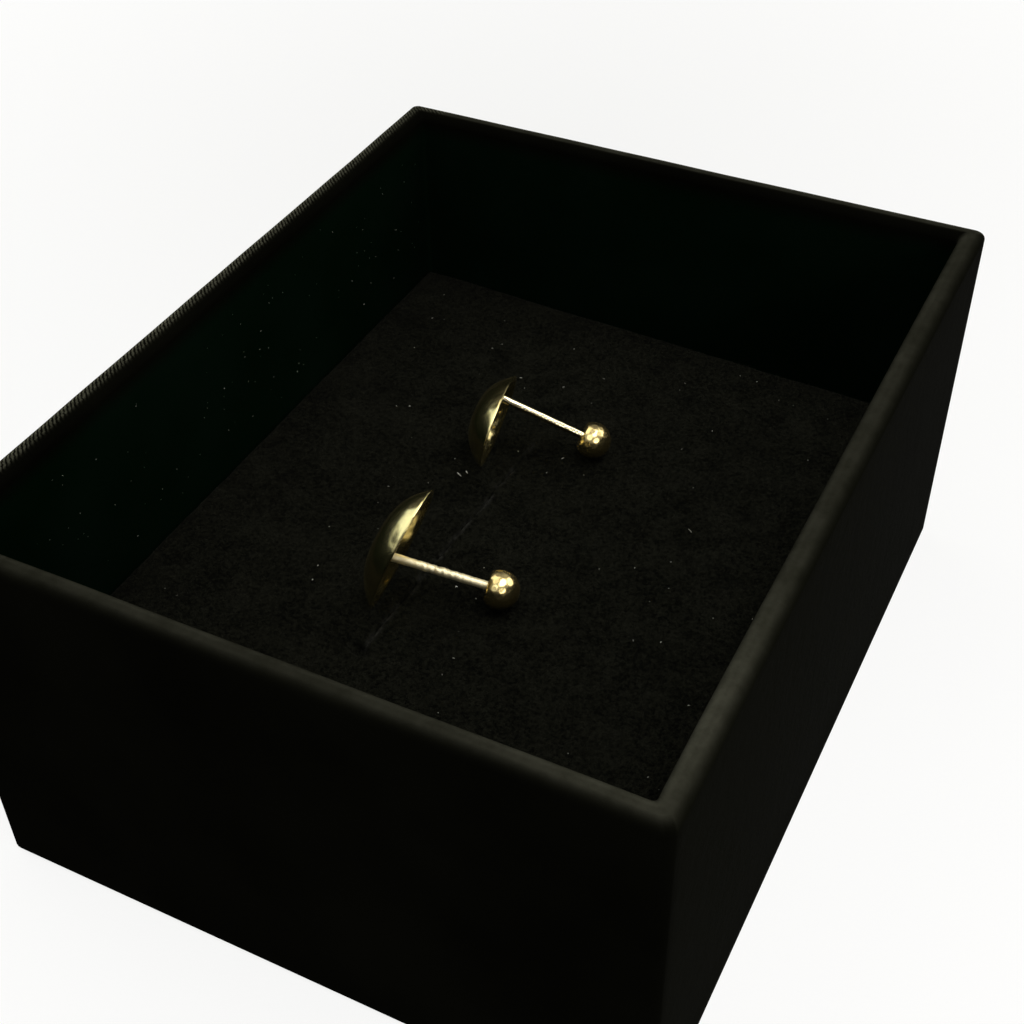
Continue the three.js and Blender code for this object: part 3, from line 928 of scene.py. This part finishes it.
# ---------------------------------------------------------------- lint
def make_lint():
    """Short fibres and dust specks caught on the pad and the inner walls."""
    rng = np.random.default_rng(LINT_SEED)
    verts = []
    faces = []

    def fibre(middle, length, heading, half):
        """One slightly bent and arched fibre with four sides."""
        bend = rng.uniform(-FIBRE_BEND, FIBRE_BEND)
        start = len(verts)
        for k in range(FIBRE_STEPS):
            t = k / (FIBRE_STEPS - 1) - 0.5
            a = heading + bend * t
            spine = np.array(middle) + np.array([math.cos(a), math.sin(a), 0]) * length * t
            spine[2] += FIBRE_ARCH * math.sin(math.pi * (t + 0.5))
            for side in range(4):
                turn = math.pi / 2 * side
                level = math.cos(turn)
                across = np.array([-math.sin(a) * level, math.cos(a) * level, math.sin(turn)])
                verts.append(spine + across * half)
        for k in range(FIBRE_STEPS - 1):
            for side in range(4):
                m = (side + 1) % 4
                base = start + 4 * k
                faces.append((base + side, base + m, base + 4 + m, base + 4 + side))
        faces.append((start + 3, start + 2, start + 1, start))
        end = start + 4 * (FIBRE_STEPS - 1)
        faces.append((end, end + 1, end + 2, end + 3))

    for x, y, length, heading, half in LINT_FIBRES:
        height = pad_top(np.array([x]), np.array([y]))[0] + LINT_OVER_PAD
        fibre((x, y, height), length, math.radians(heading), half)
    for _ in range(PAD_SPECKS):
        x = rng.uniform(PAD_LOW[0] + 2, PAD_HIGH[0] - 2)
        y = rng.uniform(PAD_LOW[1] + 2, PAD_HIGH[1] - 5)
        height = pad_top(np.array([x]), np.array([y]))[0] + LINT_OVER_PAD
        length = rng.uniform(*PAD_SPECK_LENGTHS)
        heading = rng.uniform(0, math.pi)
        half = rng.uniform(*PAD_SPECK_HALVES)
        fibre((x, y, height), length, heading, half)
    for _ in range(WALL_SPECKS):
        y = rng.uniform(BOX_LOW[1] + 5, BOX_HIGH[1] - 5)
        z = rng.uniform(PAD_HIGH[2] + 2, BOX_HIGH[2] - 3)
        length = rng.uniform(*WALL_SPECK_LENGTHS)
        half = rng.uniform(*WALL_SPECK_HALVES)
        fibre((BOX_LOW[0] + WALL + LINT_OFF_WALL, y, z), length, math.pi / 2, half)
    lint = add_mesh("lint", verts, faces, LINT)
    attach(lint, ROOT)


# ---------------------------------------------------------------- floor, lights and camera
def make_floor():
    """The pale floor that the box stands on."""
    half = FLOOR_SIZE / 2
    points = [(-half, -half, 0), (half, -half, 0), (half, half, 0), (-half, half, 0)]
    floor = add_mesh("studio_floor", points, [(0, 1, 2, 3)], floor_material(), smooth=False)
    floor.location.z = -FLOOR_GAP * MM


def direction(azimuth, elevation):
    """The unit vector towards a compass direction and elevation in degrees."""
    a, e = math.radians(azimuth), math.radians(elevation)
    return Vector((math.cos(e) * math.cos(a), math.cos(e) * math.sin(a), math.sin(e)))


def make_world():
    """A dim studio above a bright horizon, with one dark corner, so that the gold reflects dark
    with clear lights in it."""
    world = bpy.data.worlds.new("studio")
    world.use_nodes = True
    nodes = world.node_tree.nodes
    links = world.node_tree.links

    def fading(source, start, end):
        """A grey ramp over a value, from one (position, brightness) to another."""
        ramp = nodes.new("ShaderNodeValToRGB")
        for element, (position, grey) in zip(ramp.color_ramp.elements, (start, end)):
            element.position, element.color = position, (grey, grey, grey, 1)
        links.new(source, ramp.inputs["Fac"])
        return ramp.outputs["Color"]

    towards = nodes.new("ShaderNodeTexCoord").outputs["Generated"]
    split = nodes.new("ShaderNodeSeparateXYZ")
    links.new(towards, split.inputs["Vector"])
    corner = nodes.new("ShaderNodeVectorMath")
    corner.operation = "DOT_PRODUCT"
    corner.inputs[1].default_value = direction(*DARK_CORNER)
    links.new(towards, corner.inputs[0])
    outer, inner = [math.cos(math.radians(angle)) for angle in DARK_CORNER_EDGE]
    sky = fading(split.outputs["Z"], (HORIZON_TOP, HORIZON_GREY), (DIM_FROM, SKY_DIM))
    dark = fading(corner.outputs["Value"], (outer, 1), (inner, DARK_CORNER_LIGHT))
    both = nodes.new("ShaderNodeMix")
    both.data_type = "RGBA"
    both.blend_type = "MULTIPLY"
    both.inputs[MIX_FACTOR].default_value = 1
    links.new(sky, both.inputs[MIX_FIRST])
    links.new(dark, both.inputs[MIX_SECOND])
    links.new(both.outputs[MIX_RESULT], nodes["Background"].inputs["Color"])
    bpy.context.scene.world = world


def softbox(name, azimuth, elevation, size, radiance, colour):
    """A rectangular light aimed at the box from a compass direction, with a given brightness."""
    data = bpy.data.lights.new(name, "AREA")
    data.shape = "RECTANGLE"
    data.size, data.size_y = size
    data.energy = radiance * math.pi * size[0] * size[1]
    data.color = colour
    toward = direction(azimuth, elevation)
    lamp = bpy.data.objects.new(name, data)
    lamp.location = Vector(LIGHT_AIM) + toward * LIGHT_DISTANCE
    lamp.rotation_euler = toward.to_track_quat("Z", "Y").to_euler()
    bpy.context.scene.collection.objects.link(lamp)


def make_lights():
    """The studio round the box and its softboxes."""
    make_world()
    for light in SOFTBOXES:
        softbox(*light)
    bpy.context.scene.view_settings.view_transform = "Standard"


def make_camera():
    """The camera, solved from the straight edges of the box in the photograph."""
    data = bpy.data.cameras.new("camera")
    data.sensor_width = CAMERA_SENSOR
    data.lens = CAMERA_LENS
    data.clip_start = 0.01
    data.clip_end = 20
    camera = bpy.data.objects.new("camera", data)
    camera.location = [c * MM for c in CAMERA_PLACE]
    camera.rotation_euler = [math.radians(a) for a in CAMERA_TURN]
    bpy.context.scene.collection.objects.link(camera)
    bpy.context.scene.camera = camera


make_camera()
make_box()
make_pad()
make_pile()
for stud_name, stud_facts in STUDS.items():
    make_stud(stud_name, stud_facts)
make_lint()
make_floor()
make_lights()
